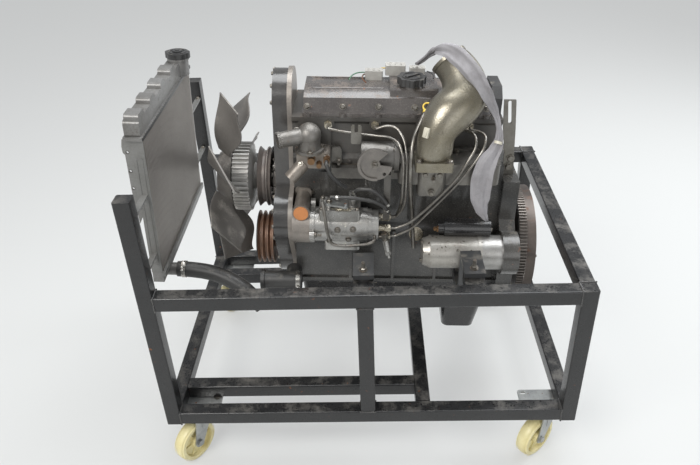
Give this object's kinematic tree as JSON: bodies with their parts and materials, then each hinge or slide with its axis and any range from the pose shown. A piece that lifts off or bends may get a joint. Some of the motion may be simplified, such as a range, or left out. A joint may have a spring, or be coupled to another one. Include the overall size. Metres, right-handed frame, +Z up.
{
  "type": "diesel engine",
  "caption": "Inline four-cylinder diesel engine with injection pump, fan and radiator, carried on a wheeled square-tube stand.",
  "frame": {"origin": "on the floor, under the middle of the stand's outline", "axes": "+X along the stand from the radiator to the flywheel, +Y away from the injection-pump side, +Z up"},
  "size_m": [1.11, 0.8298, 1.1012],
  "materials": {
    "stand_paint": "black brushed paint, scuffed and dusty",
    "zinc_steel": "dull zinc plate with rust spots",
    "cream_nylon": "yellowed cream nylon",
    "block_paint": "dark oily cast iron",
    "head_iron": "oily grey cast iron",
    "cover_paint": "glossy black paint under grime",
    "black_plastic": "black plastic",
    "case_paint": "glossy black paint",
    "case_plate_paint": "grey casting, oily",
    "pan_paint": "black pressed sheet, oily",
    "machined_steel": "machined steel",
    "pulley_iron": "rusty iron, black front",
    "flywheel_iron": "rust film on machined iron",
    "gear_steel": "hardened steel, rust film",
    "rusty_pulley": "red-brown rusted pressed steel",
    "clutch_aluminium": "dull cast aluminium",
    "fan_plastic": "dusty grey-brown plastic",
    "brown_casting": "brown stained casting",
    "crusted_casting": "oxidised casting with a pale crust at the mouth",
    "sender_brass": "dull brass",
    "orange_plug": "orange plastic plug",
    "pump_aluminium": "bright die-cast aluminium, stained",
    "fitting_steel": "bright plated steel",
    "pipe_steel": "dark steel tube",
    "hose_rubber": "black rubber",
    "intake_casting": "stained cast aluminium",
    "elbow_casting": "golden-grey cast aluminium",
    "bright_plate": "plated steel plate",
    "throttle_casting": "stained cast aluminium",
    "brown_quadrant": "yellow passivated steel, dulled",
    "starter_paint": "silver paint, worn",
    "starter_casting": "die-cast aluminium",
    "exhaust_iron": "rusted cast iron",
    "yellow_ring": "yellow dipped ring on a steel stem",
    "arm_paint": "black paint",
    "core_fins": "dusty fins with faint rust",
    "tank_aluminium": "light grey aluminium",
    "cap_black": "black pressed cap",
    "frame_steel": "galvanised sheet",
    "grey_plug": "grey plastic",
    "sleeve_cloth": "dusty grey woven sleeve"
  },
  "bodies": {
    "stand": {"stand_posts": "stand_paint", "stand_rails": "stand_paint", "caster_plates": "zinc_steel", "cylinder_block": "block_paint", "cylinder_head": "head_iron", "valve_cover": "cover_paint", "timing_cover": "case_paint", "timing_plate": "case_plate_paint", "oil_pan": "pan_paint", "water_pump": "case_plate_paint", "coolant_housing": "brown_casting", "thermostat_housing": "crusted_casting", "coolant_sensors": "sender_brass", "water_inlet": "brown_casting", "inlet_plug": "orange_plug", "injection_pump": "pump_aluminium", "delivery_valves": "fitting_steel", "injectors": "fitting_steel", "injection_pipes": "pipe_steel", "fuel_hoses": "hose_rubber", "intake_manifold": "intake_casting", "intake_elbow": "elbow_casting", "blanking_plate": "bright_plate", "throttle_body": "throttle_casting", "starter_motor": "starter_paint", "starter_housing": "starter_casting", "exhaust_manifold": "exhaust_iron", "dipstick_tube": "pipe_steel", "mount_arms": "arm_paint", "mount_bushes": "hose_rubber", "radiator_core": "core_fins", "radiator_tanks": "tank_aluminium", "radiator_frame": "frame_steel", "lower_hose": "hose_rubber", "hose_stub": "hose_rubber", "engine_brackets": "bright_plate", "rear_cover": "black_plastic", "harness_plugs": "grey_plug", "harness_sleeve": "sleeve_cloth"},
    "crank": {"crankshaft": "machined_steel", "crank_pulley": "pulley_iron", "flywheel": "flywheel_iron", "ring_gear": "gear_steel"},
    "pump_rotor": {"water_pump_pulley": "rusty_pulley"},
    "fan": {"fan": "fan_plastic", "fan_clutch": "clutch_aluminium"},
    "fork_front_left": {"caster_fork_front_left": "zinc_steel"},
    "wheel_front_left": {"caster_wheel_front_left": "cream_nylon"},
    "fork_front_right": {"caster_fork_front_right": "zinc_steel"},
    "wheel_front_right": {"caster_wheel_front_right": "cream_nylon"},
    "fork_back_left": {"caster_fork_back_left": "zinc_steel"},
    "wheel_back_left": {"caster_wheel_back_left": "cream_nylon"},
    "fork_back_right": {"caster_fork_back_right": "zinc_steel"},
    "wheel_back_right": {"caster_wheel_back_right": "cream_nylon"},
    "brake_pedal": {"brake_pedal": "zinc_steel"},
    "pump_lever": {"pump_lever": "zinc_steel"},
    "throttle_quadrant": {"throttle_quadrant": "brown_quadrant"},
    "oil_filler_cap": {"oil_filler_cap": "black_plastic"},
    "radiator_cap": {"radiator_cap": "cap_black"},
    "dipstick": {"dipstick": "yellow_ring"}
  },
  "joints": [
    {"name": "crank_turn", "type": "hinge", "parent": "stand", "child": "crank", "pos_m": [-0.195, 0, 0.515], "axis": [0.9991, 0, -0.0419], "continuous": true},
    {"name": "pump_turn", "type": "hinge", "parent": "stand", "child": "pump_rotor", "pos_m": [-0.27455, 0, 0.71851], "axis": [0.9991, 0, -0.0419], "continuous": true},
    {"name": "fan_slip", "type": "hinge", "parent": "pump_rotor", "child": "fan", "pos_m": [-0.3265, 0, 0.72069], "axis": [0.9991, 0, -0.0419], "continuous": true},
    {"name": "swivel_front_left", "type": "hinge", "parent": "stand", "child": "fork_front_left", "pos_m": [-0.487, -0.336, 0.14], "axis": [0, 0, 1], "continuous": true},
    {"name": "roll_front_left", "type": "hinge", "parent": "fork_front_left", "child": "wheel_front_left", "pos_m": [-0.50346, -0.35865, 0.0625], "axis": [0.809, -0.5878, 0], "continuous": true},
    {"name": "swivel_front_right", "type": "hinge", "parent": "stand", "child": "fork_front_right", "pos_m": [0.487, -0.336, 0.14], "axis": [0, 0, 1], "continuous": true},
    {"name": "roll_front_right", "type": "hinge", "parent": "fork_front_right", "child": "wheel_front_right", "pos_m": [0.46555, -0.354, 0.0625], "axis": [0.6428, -0.766, 0], "continuous": true},
    {"name": "swivel_back_left", "type": "hinge", "parent": "stand", "child": "fork_back_left", "pos_m": [-0.487, 0.336, 0.14], "axis": [0, 0, 1], "continuous": true},
    {"name": "roll_back_left", "type": "hinge", "parent": "fork_back_left", "child": "wheel_back_left", "pos_m": [-0.50346, 0.31335, 0.0625], "axis": [0.809, -0.5878, 0], "continuous": true},
    {"name": "swivel_back_right", "type": "hinge", "parent": "stand", "child": "fork_back_right", "pos_m": [0.487, 0.336, 0.14], "axis": [0, 0, 1], "continuous": true},
    {"name": "roll_back_right", "type": "hinge", "parent": "fork_back_right", "child": "wheel_back_right", "pos_m": [0.47054, 0.35865, 0.0625], "axis": [-0.809, -0.5878, 0], "continuous": true},
    {"name": "brake_pedal_tilt", "type": "hinge", "parent": "fork_front_right", "child": "brake_pedal", "pos_m": [0.50155, -0.32379, 0.1335], "axis": [0.6428, -0.766, 0], "range_deg": [-20, 6]},
    {"name": "pump_lever_turn", "type": "hinge", "parent": "stand", "child": "pump_lever", "pos_m": [-0.09008, -0.172, 0.72579], "axis": [0.0419, 0, 0.9991], "range_deg": [-38, 8], "stiffness_Nm_per_rad": 0.3},
    {"name": "throttle_turn", "type": "hinge", "parent": "stand", "child": "throttle_quadrant", "pos_m": [0.02889, -0.19, 0.84191], "axis": [0, 1, 0], "range_deg": [0, 80], "stiffness_Nm_per_rad": 0.3},
    {"name": "oil_cap_turn", "type": "hinge", "parent": "stand", "child": "oil_filler_cap", "pos_m": [0.12568, -0.04, 1.002], "axis": [0.0419, 0, 0.9991], "range_deg": [0, 90]},
    {"name": "radiator_cap_turn", "type": "hinge", "parent": "stand", "child": "radiator_cap", "pos_m": [-0.50654, 0.15, 1.02304], "axis": [0.0576, 0, 0.9983], "range_deg": [0, 90]},
    {"name": "dipstick_pull", "type": "slide", "parent": "stand", "child": "dipstick", "axis": [0.4071, 0.7444, 0.5293], "range_m": [0, 0.02]}
  ]
}
